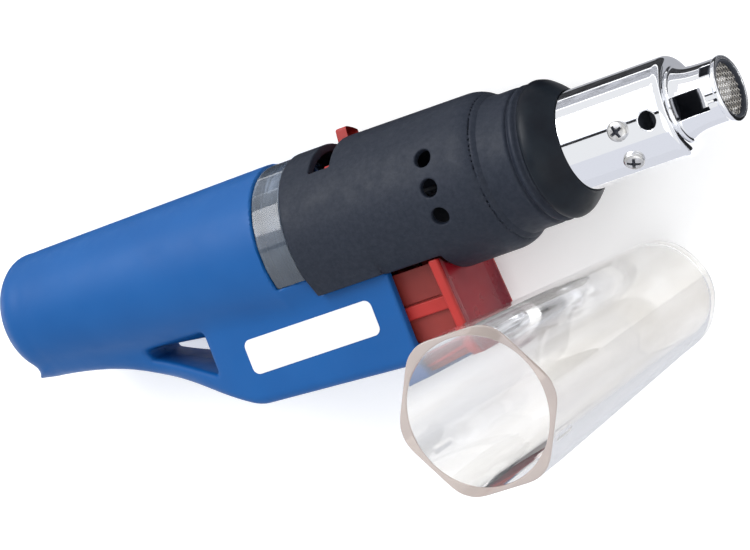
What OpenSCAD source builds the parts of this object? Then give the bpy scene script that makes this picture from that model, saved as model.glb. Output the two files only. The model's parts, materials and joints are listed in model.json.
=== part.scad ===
// Butane torch lying on its side, with its clear nose cap standing beside it.
// The torch is drawn about its barrel axis: x runs along the barrel to the nozzle, y points to the
// flow lever, and z points up, out of the side of the handle.  x = 0 is the front of the nose lip.
// The trigger is on the -y side.  place() then moves the whole object onto the floor plane.

/* [Barrel] */
// Radius of the barrel housing
barrel_r = 18.9; // [18:0.1:19.5]
// Wall of the barrel housing
barrel_wall = 2; // [1.6:0.1:2.4]
// Length of the barrel housing, from the tank band to the front shoulder
barrel_len = 54.6; // [54:0.2:58]
// Radius of the nose collar, which the cap pushes onto
collar_r = 16.1; // [15.6:0.1:16.4]
// Radius of the nose collar where the barrel laps over it
collar_seat_r = 15.7; // [15.5:0.1:15.7]
// Largest radius of the nose lip
lip_r = 16.3; // [15.8:0.1:16.6]
// Radius of the vent holes in the barrel side
vent_r = 2.1; // [1.5:0.1:2.6]
// Angles of the vent holes, from the upper side towards the flow lever
vent_angles = [29.5, 7.5, -14];

/* [Burner] */
// Radius of the burner tube
burner_r = 11.7; // [11:0.1:12]
// Wall of the burner tube
burner_wall = 0.8; // [0.6:0.1:1]
// How far the burner tube stands out of the nose lip
burner_len = 25.5; // [23:0.5:28]
// Outer radius of the tip tube
tip_r = 7.4; // [7:0.1:7.6]
// How far the tip tube stands out of the burner tube
tip_len = 11.9; // [10:0.1:14]
// Length of the windows in the tip tube
window_len = 7; // [4:0.5:7]
// Width of the windows in the tip tube
window_w = 5; // [3:0.5:6]
// Angles of the burner screws, from the upper side towards the flow lever
screw_angles = [0, -39, 150];

/* [Handle] */
// Radius of the tank cone at the band
cone_r_front = 19; // [18.5:0.1:19]
// Radius of the tank cone at the rear
cone_r_rear = 14.6; // [14:0.1:16]
// Length of the tank cone, without its dome
cone_len = 72.8; // [70:0.1:76]
// Rise of the cone's rear end above the barrel axis
cone_rise = 4; // [3:0.5:4.5]
// Depth of the domed rear end
dome_len = 9; // [8:0.5:12]
// Wall of the handle shells
shell_wall = 2; // [1.8:0.1:2.4]
// Half the width of the grip block
block_half_w = 13; // [12.5:0.1:13.5]
// Depth of the grip block's underside below the barrel axis
block_drop = 35.3; // [35:0.1:36]
// Visible width of the tank band
band_w = 7.4; // [6:0.2:8]
// Radius of the tank band
band_r = 18.4; // [18:0.1:18.6]
// Half the width of the strut beside the hanging hole, at its rear end
strut_half_w = 7.5; // [7:0.1:9]

/* [Controls] */
// Half the width of the trigger's finger plate
plate_half_w = 13.2; // [12:0.1:13.2]
// Half the width of the trigger's body
trigger_half_w = 9.2; // [8:0.1:9.4]
// Outer radius of the flow lever's tab
tab_r = 21.8; // [21:0.1:22.5]
// Angle of the flow lever's tab at rest, from the upper side towards the lever side
tab_angle = 111; // [108:1:112]
// Turn of the flow lever
flow_turn = 48; // [30:1:48]

/* [Cap] */
// Inner radius of the cap's mouth
cap_r = 16.3; // [16.2:0.05:16.8]
// Inner radius of the cap at its closed end
cap_end_r = 12.3; // [11.5:0.1:13]
// Wall of the cap at its flats
cap_wall = 1.1; // [1:0.1:1.6]
// Extra wall at the cap's six corners
cap_corner = 1.4; // [1:0.1:1.8]
// Height of the cap, standing on its closed end
cap_h = 102.7; // [95:0.1:110]
// Thickness of the cap's closed end
cap_floor = 2.4; // [1.5:0.1:3]
// Height of the lug on the cap's side
lug_h = 1.3; // [0.8:0.1:1.6]
// Place of the cap's axis beside the torch
cap_at = [-5.2, -41];

/* [Hidden] */
$fn = 64;
eps = 0.01;
big = 200;

// Stations along the barrel axis
barrel_front = -18;
barrel_rear = barrel_front - barrel_len;
band_rear = barrel_rear - band_w;
cone_front = band_rear;
cone_rear = cone_front - cone_len;
handle_rear = cone_rear - dome_len;
tip_front = burner_len + tip_len;
barrel_in_r = barrel_r - barrel_wall;
cone_tilt = atan(cone_rise / cone_len);

// Stations of the grip block and of the skirt that laps over it
block_front = -53;
block_rear = -99;
strut_end = -124;
block_wall = 2.6;
skirt_drop = 12.8;
skirt_half_w = 15.3;
skirt_start = 7;
band_drop = 8.3;

// Hanging hole: tip, top rear, top front and bottom front corners
hole_tip = [-125.3, -13.4];
hole_top = [-106.3, -13.4];
hole_low = [-106.3, -23];

// Centres of the four handle screws
screw_posts = [[-156.5, -5], [-92, -18], [-101.3, -28.6], [-72.5, -31.4]];
post_r = 1.9;
screw_seats = [8, 11.4, 11.4, 11.4];
screw_r = 1.1;
screw_head_r = 1.8;

// Trigger and ignition
trigger_front = -39.3;
trigger_rear = -67;
trigger_low = -29;
plate_low = -36.5;
plate_corner = 6;
piezo_y = -24.4;
piezo_half = 4.5;
piezo_rear = -99;
piezo_front = -79;
plunger_r = 2.4;
pocket_r = 3.9;
pocket_x = -63;
rib_x = -86;
lug_x = -50;

// Valve and flow control
valve_r = 4.5;
valve_front = -57;
stem_r = 1.5;
stem_collar_r = 2.1;
stem_ball_x = -54.7;
nose_r = 3;
nose_len = 2.2;
wick_r = 1.5;
pipe_r = 1;
pipe_x = valve_front - 1.1;
clip_x = -60.2;
pivot = [-51.6, 9];
contact_y = -14;
flow_x0 = -65;
flow_x1 = -60.4;
tab_half = 7.5;
tab_step = 2.2;
slot_x0 = -63.8;
slot_x1 = -57.9;
slot_low = tab_angle - tab_half - flow_turn - 6;
slot_high = tab_angle + tab_half + 2.5;

// The object's box, which place() centres over the origin
lug_low = 0.51 * cap_h;
lug_high = 0.81 * cap_h;
box_low_y = cap_at[1] - cap_end_r - cap_wall - (cap_r - cap_end_r) * lug_high / cap_h - lug_h;
box_high_y = tab_r * sin(tab_angle - tab_half);
rim_x = handle_rear + 0.34;
floor_z = -cone_r_front;

// ---------------------------------------------------------------- helpers

function arc(c, r, a0, a1, n = 8) =
    [for (i = [0:n]) c + r * [cos(a0 + (a1 - a0) * i / n), sin(a0 + (a1 - a0) * i / n)]];

module place() {
    translate([-(rim_x + tip_front) / 2, -(box_low_y + box_high_y) / 2, -floor_z]) children();
}

// A solid of revolution about the barrel axis, from [radius, x] points
module lathe(points) {
    rotate([0, 90, 0]) rotate_extrude($fn = 96) polygon(points);
}

module rod(x0, x1, r, r1 = undef) {
    translate([x0, 0, 0]) rotate([0, 90, 0]) cylinder(h = x1 - x0, r1 = r, r2 = is_undef(r1) ? r : r1);
}

module tube(x0, x1, r_out, r_in) {
    lathe([[r_in, x0], [r_out, x0], [r_out, x1], [r_in, x1]]);
}

// Turns its children about the barrel axis, from +z towards +y
module at_angle(a) {
    rotate([-a, 0, 0]) children();
}

// A round post or bore across the torch, from z0 up to z1
module cross(p, z0, z1, r) {
    translate([p[0], p[1], z0]) cylinder(h = z1 - z0, r = r);
}

module box(low, high) {
    translate(low) cube(high - low);
}

// An outline in the x-y plane, made into a plate from z0 to z1
module plate(points, z0, z1) {
    translate([0, 0, z0]) linear_extrude(z1 - z0) polygon(points);
}

// An outline in the y-z plane, made into a plate from x0 to x1
module face(points, x0, x1) {
    translate([x0, 0, 0]) rotate([90, 0, 90]) linear_extrude(x1 - x0) polygon(points);
}

function unit(v) = v / norm(v);

// Points on a smooth curve through p, with n steps to each span
function curve(p, n = 4) = concat([for (i = [0:len(p) - 2], k = [0:n - 1])
    let (t = k / n, a = p[max(i - 1, 0)], b = p[i], c = p[i + 1], d = p[min(i + 2, len(p) - 1)])
        b + t * (c - a) / 2 + t * t * (a - 2.5 * b + 2 * c - d / 2)
            + t * t * t * (3 * (b - c) + d - a) / 2],
    [p[len(p) - 1]]);

// A solid swept through rings that each hold the same number of points
module skin(rings) {
    n = len(rings) - 1;
    m = len(rings[0]);
    polyhedron([for (ring = rings) for (p = ring) p], concat(
        [[for (j = [0:m - 1]) m - 1 - j]],
        [for (i = [0:n - 1]) for (j = [0:m - 1]) let (k = (j + 1) % m)
            [i * m + j, i * m + k, (i + 1) * m + k, (i + 1) * m + j]],
        [[for (j = [0:m - 1]) n * m + j]]));
}

// Round wire along a smooth curve through the given points
module wire(points, r, sides = 10) {
    path = curve(points);
    last = len(path) - 1;
    skin([for (i = [0:last])
        let (d = unit(path[min(i + 1, last)] - path[max(i - 1, 0)]), u = unit(cross([0.2, 0.9, 0.4], d)),
            v = cross(d, u))
            [for (j = [0:sides - 1]) let (b = -360 * j / sides) path[i] + r * (cos(b) * u + sin(b) * v)]]);
}

// A coil along +x from the origin
module coil(len, coil_r, wire_r, turns, sides = 8, steps = 14) {
    n = turns * steps;
    skin([for (i = [0:n]) let (a = 360 * i / steps, x = wire_r + (len - 2 * wire_r) * i / n)
        [for (j = [0:sides - 1]) let (b = 360 * j / sides, q = coil_r + wire_r * cos(b))
            [x + wire_r * sin(b), q * cos(a), q * sin(a)]]]);
}

// A pan head screw along +z, with its head's seat at z = 0 and a cross recess
module pan_screw(head_r, head_h, shank_r, shank_len) {
    arm = 0.62 * head_r;
    slot = 0.13 * head_r;
    difference() {
        union() {
            rotate_extrude() polygon(concat([[0, 0], [head_r, 0], [head_r, head_h * 0.45]],
                arc([head_r - head_h * 0.5, head_h * 0.5], head_h * 0.5, 0, 90, 5), [[0, head_h]]));
            translate([0, 0, -shank_len]) cylinder(h = shank_len + eps, r = shank_r);
        }
        for (a = [45, 135]) rotate([0, 0, a])
            box([-arm, -slot, head_h * 0.45], [arm, slot, head_h * 2]);
    }
}

// ---------------------------------------------------------------- handle

// The tank cone and its dome, grown by d
module cone_form(d) {
    n = 8;
    dome = [for (i = [1:n]) let (a = 90 * i / n)
        [(cone_r_rear + d) * cos(a), -(dome_len + d) * sin(a)]];
    translate([cone_rear, cone_rise, 0]) rotate([0, 0, -cone_tilt]) rotate([0, 90, 0])
        rotate_extrude($fn = 96) polygon(concat(
            [[0, -(dome_len + d)]], [for (i = [n - 1:-1:1]) dome[i - 1]],
            [[cone_r_rear + d, 0], [cone_r_front + d, cone_len], [0, cone_len]]));
}

// Side outline of the grip block and the strut behind it
function block_outline() = concat(
    arc([-161.9, -90.7], 80, 88, 63.5, 8),
    arc([-95.4, -23.2], 10, 243.6, 267, 5),
    arc([block_front - 1.6, 1.6 - block_drop], 1.6, 270, 360, 4),
    [[block_front, -4], [-150, -4]]);

// Side outline of the space inside the grip block
function cavity_outline() = let (rear = block_rear - 1.2, front = block_front + 1)
    [[rear, 0], [rear, -29], [rear + 3.2, -31], [front, shell_wall - block_drop], [front, 0]];

// The block's half width, which narrows to the strut behind it
function block_half(t) = strut_half_w + (block_half_w - strut_half_w) * (3 * t * t - 2 * t * t * t);

// The block and the strut together, seen from the side and from above
module block_form() {
    n = 8;
    edge = [for (i = [0:n]) let (x = strut_end + (block_rear - strut_end) * i / n) [x, block_half(i / n)]];
    intersection() {
        plate(block_outline(), -block_half_w, block_half_w);
        rotate([90, 0, 0]) translate([0, 0, -big]) linear_extrude(2 * big) polygon(concat(
            [[-big, strut_half_w]], edge, [[0, block_half_w], [0, -block_half_w]],
            [for (i = [n:-1:0]) [edge[i][0], -edge[i][1]]], [[-big, -strut_half_w]]));
    }
}

module hanging_hole() {
    r = 1;
    plate(concat(arc(hole_tip + [r, -r], r, 250, 90, 5), arc(hole_top + [-r, -r], r, 90, 0, 4),
        arc(hole_low + [-r, r], r, 0, -115, 5)), -big, big);
}

// Room for the band, the barrel and its skirt
module barrel_room() {
    box([band_rear, -band_drop, -big], [0, big, big]);
    box([barrel_rear - 0.2, -skirt_drop, -big], [0, big, big]);
}

module handle_cavity() {
    difference() {
        union() {
            cone_form(-shell_wall);
            plate(cavity_outline(), block_wall - block_half_w, block_half_w - block_wall);
        }
        box([rib_x, -big, -big], [rib_x + 2, -15.3, big]);
        for (p = screw_posts) cross(p, -big, big, post_r);
        plate([[-128, -11.9], [-104.3, -11.9], [-104.3, -26], [-128, -20]], -block_half_w, block_half_w);
    }
    box([rib_x - eps, piezo_y - piezo_half - 0.2, -piezo_half - 0.2],
        [rib_x + 2 + eps, piezo_y + piezo_half + 0.2, piezo_half + 0.2]);
    rod(band_rear - 1, barrel_rear, head_r + 1.9);
}

module handle_form() {
    difference() {
        union() {
            cone_form(0);
            block_form();
        }
        barrel_room();
        hanging_hole();
        handle_cavity();
        translate([handle_rear - 1, cone_rise, 0]) rod(0, 12, 4.75);
    }
}

module handle_shell_right() {
    color("royalblue") difference() {
        handle_form();
        box([-big, -big, -big], [big, big, 0]);
        for (p = screw_posts) cross(p, -eps, 8, screw_r);
    }
}

module handle_shell_left() {
    color("royalblue") difference() {
        handle_form();
        box([-big, -big, 0], [big, big, big]);
        for (i = [0:len(screw_posts) - 1]) {
            cross(screw_posts[i], -big, eps, screw_r + 0.2);
            cross(screw_posts[i], -big, -screw_seats[i], screw_head_r + 0.2);
        }
    }
}

module handle_screws() {
    color("silver") for (i = [0:len(screw_posts) - 1])
        translate(concat(screw_posts[i], -screw_seats[i])) rotate([180, 0, 0])
            pan_screw(screw_head_r, 1.3, screw_r, screw_seats[i] + 7);
}

module label() {
    r = 1.8;
    low = [-95.3, -25.8];
    high = [-60.6, -17.3];
    color("white") plate(concat(
        arc([high[0] - r, high[1] - r], r, 0, 90, 4), arc([low[0] + r, high[1] - r], r, 90, 180, 4),
        arc([low[0] + r, low[1] + r], r, 180, 270, 4), arc([high[0] - r, low[1] + r], r, 270, 360, 4)),
        block_half_w, block_half_w + 0.15);
}

// ---------------------------------------------------------------- fuel tank

tank_gap = 4.5;
tank_wall = 1.5;
head_r = 12.6;
head_front = barrel_rear + 1.4;
groove_x = band_rear + 3.2;
filler_r = 3.2;
port_r = 1.6;
port_len = 5;

module tank_form(d) {
    translate([cone_rear + 1.5 - d, cone_rise * (cone_len - 1.5) / cone_len, 0])
        rotate([0, 0, -cone_tilt])
            rod(0, cone_len + 4 + d, cone_r_rear - tank_gap + d, cone_r_front - tank_gap + d);
}

module fuel_tank() {
    color("dimgray", 0.6) difference() {
        union() {
            intersection() {
                tank_form(0);
                box([-big, -big, -big], [band_rear + 1, big, big]);
            }
            difference() {
                rod(band_rear + 0.05, barrel_rear - 0.05, band_r);
                box([-big, -big, -big], [big, -band_drop, big]);
            }
            rod(band_rear + 0.05, barrel_rear - 0.05, head_r + 1.6);
        }
        intersection() {
            tank_form(-tank_wall);
            box([-big, -big, -big], [band_rear + 1.5, big, big]);
        }
        rod(band_rear + 0.9, barrel_rear + 1, head_r + 0.35);
        on_filler() rod(handle_rear, cone_rear + 6, filler_r);
    }
}

module tank_head() {
    color("gray") difference() {
        rod(band_rear + 1, head_front, head_r);
        tube(groove_x, groove_x + 1.8, head_r + 1, head_r - 1);
        rod(band_rear, head_front + 1, valve_r + 0.02);
    }
}

module tank_seal() {
    color("black") rotate([0, 90, 0]) translate([0, 0, groove_x + 0.9])
        rotate_extrude() translate([head_r - 0.3, 0]) circle(r = 0.62, $fn = 24);
}

module wick_tube() {
    color("ivory") translate([-130, 0, 0]) difference() {
        rod(0, 130 + band_rear - 4.4, wick_r);
        rod(-1, 130 + band_rear - 6.4, 0.8);
    }
}

module on_filler() {
    translate([0, cone_rise, 0]) children();
}

module filler_valve() {
    color("goldenrod") on_filler() difference() {
        union() {
            rod(handle_rear + 0.8, cone_rear + 7, filler_r - 0.02);
            rod(handle_rear + 1.2, cone_rear - 0.4, filler_r + 1.2);
        }
        rod(handle_rear, handle_rear + 0.8 + port_len, port_r);
        rod(handle_rear, cone_rear + 4, port_r - 0.4);
        rod(handle_rear + 0.8 + port_len, cone_rear + 5.5, filler_r - 0.9);
        rod(cone_rear, cone_rear + 8, port_r - 0.4);
    }
}

module filler_seal() {
    x = handle_rear + 0.8 + port_len;
    color("black") on_filler() tube(x + 0.02, x + 1, filler_r - 0.95, port_r - 0.35);
}

module filler_stem() {
    x = handle_rear + 0.8 + port_len;
    color("goldenrod") on_filler() {
        rod(x + 0.05, x + 1.3, 0.9);
        rod(x + 1.3, x + 2.3, filler_r - 1.3);
    }
}

module filler_spring() {
    x = handle_rear + 0.8 + port_len;
    color("silver") on_filler() translate([x + 2.4, 0, 0])
        coil(cone_rear + 5.4 - x - 2.4, 1.3, 0.22, 4, 6, 12);
}

// ---------------------------------------------------------------- gas valve and flow control

module valve_body() {
    color("goldenrod") difference() {
        union() {
            rod(band_rear - 4, valve_front - nose_len, valve_r);
            rod(valve_front - nose_len - 1, valve_front, nose_r);
            rod(head_front, head_front + 1.4, valve_r + 2.2);
            rod(band_rear - 1.4, band_rear + 1, valve_r + 2.2);
        }
        rod(valve_front - 12, valve_front - 1, stem_collar_r + 0.1);
        rod(valve_front - 2, valve_front + 1, stem_r + 0.05);
        rod(valve_front - 16, valve_front - 11, 1.2);
        rod(band_rear - 5, band_rear + 2, wick_r + 0.02);
        tube(clip_x, clip_x + 0.6, valve_r + 1, valve_r - 0.4);
        translate([pipe_x, 0, 0]) rotate([180, 0, 0]) cylinder(h = 9, r = pipe_r + 0.02);
    }
}

module valve_stem() {
    color("silver") {
        rod(valve_front - 5.5, stem_ball_x, stem_r);
        rod(valve_front - 5.5, valve_front - 4, stem_collar_r);
        translate([stem_ball_x, 0, 0]) sphere(r = stem_r);
    }
}

module valve_spring() {
    color("silver") translate([valve_front - 11.8, 0, 0]) coil(6, 1.7, 0.25, 5, 6, 12);
}

module valve_lever() {
    color("silver") difference() {
        union() {
            plate([[pivot[0] - 1.1, contact_y - 2], [pivot[0] + 1.1, contact_y - 2],
                [pivot[0] + 1.1, pivot[1]], [pivot[0] - 1.1, pivot[1]]], -2, 2);
            cross(pivot, -2, 2, 2.4);
        }
        cross(pivot, -3, 3, 1.06);
    }
}

module lever_pin() {
    color("silver") cross(pivot, -15.2, 15.2, 1);
}

module flow_ring() {
    color("crimson") {
        tube(flow_x0 - 2, flow_x1, valve_r + 2.4, valve_r + 0.05);
        intersection() {
            union() {
                tube(flow_x0, flow_x1, tab_r - 6, valve_r + 1);
                tube(flow_x0 + tab_step, flow_x1 + tab_step, tab_r, valve_r + 3);
            }
            at_angle(tab_angle) plate_sector(tab_half, tab_r + 4);
        }
        // stop nub, which shows in the slot beside the tab
        intersection() {
            tube(flow_x1 - 1.4, flow_x1, barrel_in_r - 0.5, valve_r + 1);
            at_angle(tab_angle - 44) plate_sector(3, barrel_r);
        }
    }
}

// A wedge of the given half angle about +z, as wide as the barrel is long
module plate_sector(half, r) {
    face([[0, 0], r * [-sin(half), cos(half)] * 1.2, r * [sin(half), cos(half)] * 1.2], -big, big);
}

module flow_clip() {
    color("silver") difference() {
        tube(clip_x + 0.05, clip_x + 0.55, valve_r + 1.5, valve_r - 0.36);
        box([clip_x, -big, -1.6], [clip_x + 1, 0, 1.6]);
    }
}

module gas_pipe() {
    color("peru") wire([[pipe_x, 0, -2.3], [pipe_x, 0, -4.3], [pipe_x, 0, -7], [pipe_x + 3, 0, -10.3],
        [-41, 0, -10.3], [-37, 0, -7.4], [-34.4, 0, -1.4], [-32.2, 0, 0], [-30.8, 0, 0], [-29.45, 0, 0]],
        pipe_r);
}

// ---------------------------------------------------------------- trigger and ignition

// Front outline of the finger plate, as [z, y]
function plate_outline(top) = concat(
    arc([plate_half_w - plate_corner, plate_low + plate_corner], plate_corner, -90, 0, 6),
    [[plate_half_w, top], [-plate_half_w, top]],
    arc([plate_corner - plate_half_w, plate_low + plate_corner], plate_corner, 180, 270, 6));

module trigger() {
    top = -10;
    color("firebrick") difference() {
        union() {
            intersection() {
                plate([[trigger_front - 2.6, top], [trigger_front - 0.8, top],
                    [trigger_front + 0.8, plate_low], [trigger_front - 1.4, plate_low]], -big, big);
                face([for (p = plate_outline(top)) [p[1], p[0]]], -big, big);
            }
            box([trigger_rear, trigger_low, -trigger_half_w], [trigger_front - 1.8, top, trigger_half_w]);
            for (s = [-1, 1]) translate([0, 0, s * trigger_half_w])
                box([trigger_rear, -23.6, -0.8], [trigger_front - 1.8, -21.6, 0.8]);
        }
        rod(-big, 0, barrel_r + 0.5);
        translate([0, piezo_y, 0]) rod(trigger_rear - 1, pocket_x, pocket_r);
    }
    color("firebrick") box([lug_x, -20.6, -2.2], [lug_x + 2.6, contact_y + 1, 2.2]);
}

module trigger_spring() {
    color("silver") translate([piezo_front + 0.05, piezo_y, 0])
        coil(pocket_x - piezo_front - 0.1, 3.2, 0.35, 7);
}

module piezo_body() {
    color("ivory") difference() {
        box([piezo_rear, piezo_y - piezo_half, -piezo_half],
            [piezo_front, piezo_y + piezo_half, piezo_half]);
        translate([0, piezo_y, 0]) rod(piezo_front - 10, piezo_front + 1, plunger_r + 0.05);
    }
}

module piezo_plunger() {
    color("black") translate([0, piezo_y, 0]) {
        rod(piezo_front - 2, pocket_x - 0.02, plunger_r);
    }
}

module ignition_wire() {
    color("black") wire([[-82.2, piezo_y, -4.55], [-82.2, piezo_y, -6.4], [-81.8, piezo_y + 1, -8.1],
        [-79, -18, -8.6], [-75, -13.4, -8.6], [-36, -13.4, -7], [-29, -9, -3], [-24.8, -7.4, 0],
        [-23.1, -7.4, 0]], 1);
}

// ---------------------------------------------------------------- barrel and nose

module skirt() {
    for (s = [-1, 1]) face([
        [-skirt_start, s * sqrt(barrel_r * barrel_r - skirt_start * skirt_start)],
        [-skirt_drop, s * skirt_half_w],
        [-skirt_drop, s * (block_half_w + 0.1)],
        [-skirt_start, s * (barrel_in_r - 1.2)]], barrel_rear, block_front);
}

module barrel_housing() {
    color("dimgray") difference() {
        union() {
            difference() {
                lathe(concat([[barrel_in_r, barrel_rear], [barrel_r - 0.3, barrel_rear],
                    [barrel_r, barrel_rear + 0.5], [barrel_r + 0.1, -35], [barrel_r, -24]],
                    [for (p = arc([barrel_r - 2.6, barrel_front - 2.6], 2.6, 10, 75, 6)) p],
                    [[collar_r + 0.1, barrel_front], [collar_r + 0.1, barrel_front - 3],
                    [barrel_in_r, barrel_front - 3.2]]));
                box([-big, -big, -big], [block_front, -skirt_drop, big]);
            }
            skirt();
        }
        for (s = [0, 180], a = vent_angles) translate([-32.3, 0, 0]) at_angle(s + (s > 0 ? -a : a))
            cylinder(h = big, r = vent_r);
        intersection() {
            box([slot_x0, 0, -big], [slot_x1, big, big]);
            at_angle((slot_low + slot_high) / 2) plate_sector((slot_high - slot_low) / 2, 2 * barrel_r);
        }
        box([block_front - 1, -big, -3.2], [-44, -barrel_in_r + 3, 3.2]);
        cross(pivot, -15.4, 15.4, 1.02);
    }
}

module nose_collar() {
    color("dimgray") difference() {
        lathe([[13.2, -26], [barrel_in_r - 0.05, -26], [barrel_in_r - 0.05, barrel_front - 3.3],
            [collar_seat_r, barrel_front - 3.3], [collar_seat_r, barrel_front + 0.5],
            [collar_r, barrel_front + 0.5], [collar_r, -12.4], [collar_r - 0.5, -12.1],
            [collar_r - 0.5, -11.7], [collar_r, -11.4], [collar_r, -10.2], [collar_r - 0.5, -9.9],
            [collar_r - 0.5, -9.2], [13.2, -9.2]]);
        tube(-30, -14, 13.3, 1);
    }
}

module nose_lip() {
    mid = -5.4;
    color("black") lathe(concat([[13.2, -9.1], [lip_r - 0.9, -9.1]],
        arc([lip_r - 3.7, mid], 3.7, -62, 0, 4), arc([lip_r - 4.3, mid + 0.1], 4.3, 8, 90, 8),
        [[burner_r + 0.05, -1.1], [burner_r + 0.05, -3.2], [13.2, -3.2]]));
}

module insulator_sleeve() {
    color("wheat") tube(-25.8, -3.3, 13.1, burner_r + 0.1);
}

// ---------------------------------------------------------------- burner

module burner_tube() {
    w = burner_wall;
    roll = 2;
    color("gainsboro") difference() {
        lathe(concat([[burner_r - w, -14], [burner_r, -14]],
            arc([burner_r - roll, burner_len - roll], roll, 0, 90, 8), [[tip_r + 0.5, burner_len]],
            [[tip_r + 0.5, burner_len - w]],
            [for (p = arc([burner_r - roll, burner_len - roll], roll - w, 90, 0, 8)) p]));
        for (a = screw_angles) translate([13.4, 0, 0]) at_angle(a) cylinder(h = big, r = 1.3);
        translate([20.8, 0, 0]) cylinder(h = big, r = 2.1);
    }
}

module burner_tip() {
    w = 0.7;
    x1 = burner_len + 4;
    color("gainsboro") difference() {
        lathe([[tip_r - w, burner_len - 6], [tip_r + 0.4, burner_len - 6], [tip_r + 0.4, burner_len + 0.05],
            [tip_r + 1.7, burner_len + 0.05], [tip_r + 1.5, burner_len + 0.7], [tip_r + 0.7, burner_len + 2],
            [tip_r, x1], [tip_r, tip_front - 1.1], [tip_r + 0.3, tip_front - 0.9],
            [tip_r + 0.3, tip_front - 0.2], [tip_r + 0.1, tip_front], [tip_r - w, tip_front]]);
        for (a = [0, 180]) translate([burner_len + 1, 0, 0]) at_angle(a)
            box([0, -window_w / 2, 0], [window_len, window_w / 2, big]);
        for (a = [0, 180]) translate([burner_len + 1 + window_len, 0, 0]) at_angle(a)
            box([-eps, -1.1, 0], [2.6, -0.8, big]);
        for (a = [52, 232]) translate([tip_front - 4, 0, 0]) at_angle(a)
            box([0, -1.3, 0], [2.6, 1.3, big]);
    }
}

module tip_ring() {
    color("silver") lathe([[5.9, tip_front - 2.2], [tip_r - 0.72, tip_front - 2.2],
        [tip_r - 0.72, tip_front - 0.3], [6.25, tip_front - 0.3], [6.25, tip_front - 1.5],
        [5.9, tip_front - 1.5]]);
}

module mesh_screen() {
    color("gray") rod(tip_front - 1.45, tip_front - 1.15, 6.2);
}

module flame_holder() {
    color("tan") difference() {
        rod(8.5, 18.5, burner_r - burner_wall - 0.05);
        rod(8, 20, 4.03);
        for (a = screw_angles) translate([13.4, 0, 0]) at_angle(a) cylinder(h = big, r = 1.27);
        for (a = [30:60:330]) if (a != 330 && a != 150) at_angle(a) translate([0, 0, 7.4]) rod(8, 20, 1.1);
        at_angle(-90) translate([0, 0, 7.4]) rod(8, 20, 1.55);
    }
}

module burner_screws() {
    color("silver") for (a = screw_angles)
        translate([13.4, 0, 0]) at_angle(a) translate([0, 0, burner_r + 0.02])
            pan_screw(2.45, 1.5, 1.25, 4.5);
}

module mixing_tube() {
    color("goldenrod") difference() {
        tube(-26, 22, 4, 3);
        for (a = [0, 90, 180, 270]) translate([-20, 0, 0]) at_angle(a) cylinder(h = 8, r = 1);
    }
}

module gas_jet() {
    color("goldenrod") difference() {
        union() {
            rod(-31, -26, 3.2);
            rod(-26, -23, 2.95);
        }
        rod(-32, -29.4, 1.03);
        rod(-29.5, -22, 0.3);
    }
}

module electrode() {
    color("silver") translate([0, -7.4, 0]) rod(-23, 19.2, 0.5);
}

module electrode_insulator() {
    color("white") translate([0, -7.4, 0]) tube(-22.4, 18.4, 1.5, 0.52);
}

// ---------------------------------------------------------------- cap

// The cap stands mouth up; six flats on a cone leave six round corners
module cap() {
    out_r = cap_r + cap_wall + cap_corner;
    end_r = cap_end_r + cap_wall + cap_corner;
    edge = 2.2;
    color("aliceblue", 0.4) translate([cap_at[0], cap_at[1], floor_z]) {
        difference() {
            rotate_extrude($fn = 96) polygon(concat([[0, 0]],
                arc([end_r - edge, edge], edge, 270, 357, 6), [[out_r, cap_h], [0, cap_h]]));
            cap_hollow();
            for (a = [30:60:330]) rotate([0, 0, a]) on_flat()
                box([0, -big / 2, -10], [20, big / 2, cap_h + 10]);
        }
        difference() {
            rotate([0, 0, -90]) on_flat() cap_lug();
            cap_hollow();
        }
    }
}

module cap_hollow() {
    rotate_extrude($fn = 96) polygon(concat([[0, cap_floor]],
        arc([cap_end_r - 2, cap_floor + 2], 2, 270, 357, 6), [[cap_r, cap_h], [cap_r, cap_h + 1],
        [0, cap_h + 1]]));
}

// Lays its children's x = 0 plane against a flat of the tapered cap
module on_flat() {
    translate([cap_end_r + cap_wall, 0, 0]) rotate([0, atan((cap_r - cap_end_r) / cap_h), 0]) children();
}

module cap_lug() {
    half = 2.2;
    translate([-cap_wall / 2, 0, 0]) rotate([0, 90, 0]) linear_extrude(cap_wall / 2 + lug_h)
        polygon(concat(arc([half - lug_high, 0], half, 90, 270, 10),
            arc([-half - lug_low, 0], half, -90, 90, 10)));
}

// ---------------------------------------------------------------- nodes

place() handle_shell_right();
place() handle_shell_left();
place() handle_screws();
place() label();
place() fuel_tank();
place() tank_head();
place() tank_seal();
place() wick_tube();
place() filler_valve();
place() filler_stem();
place() filler_spring();
place() filler_seal();
place() valve_body();
place() valve_stem();
place() valve_spring();
place() valve_lever();
place() lever_pin();
place() flow_ring();
place() flow_clip();
place() trigger();
place() trigger_spring();
place() piezo_body();
place() piezo_plunger();
place() ignition_wire();
place() barrel_housing();
place() nose_collar();
place() nose_lip();
place() insulator_sleeve();
place() burner_tube();
place() burner_tip();
place() tip_ring();
place() mesh_screen();
place() flame_holder();
place() burner_screws();
place() mixing_tube();
place() gas_jet();
place() gas_pipe();
place() electrode();
place() electrode_insulator();
place() cap();
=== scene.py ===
"""Looks of the butane torch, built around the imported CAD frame.

Shapes are written in millimetres about the torch's barrel axis: x towards the nozzle with x = 0 at the
nose lip, y towards the flow lever, z out of the upper side of the handle.  place() moves them into the frame.
"""
import json
import math
import bmesh
import bpy
import numpy as np
from mathutils import Matrix, Vector


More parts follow.
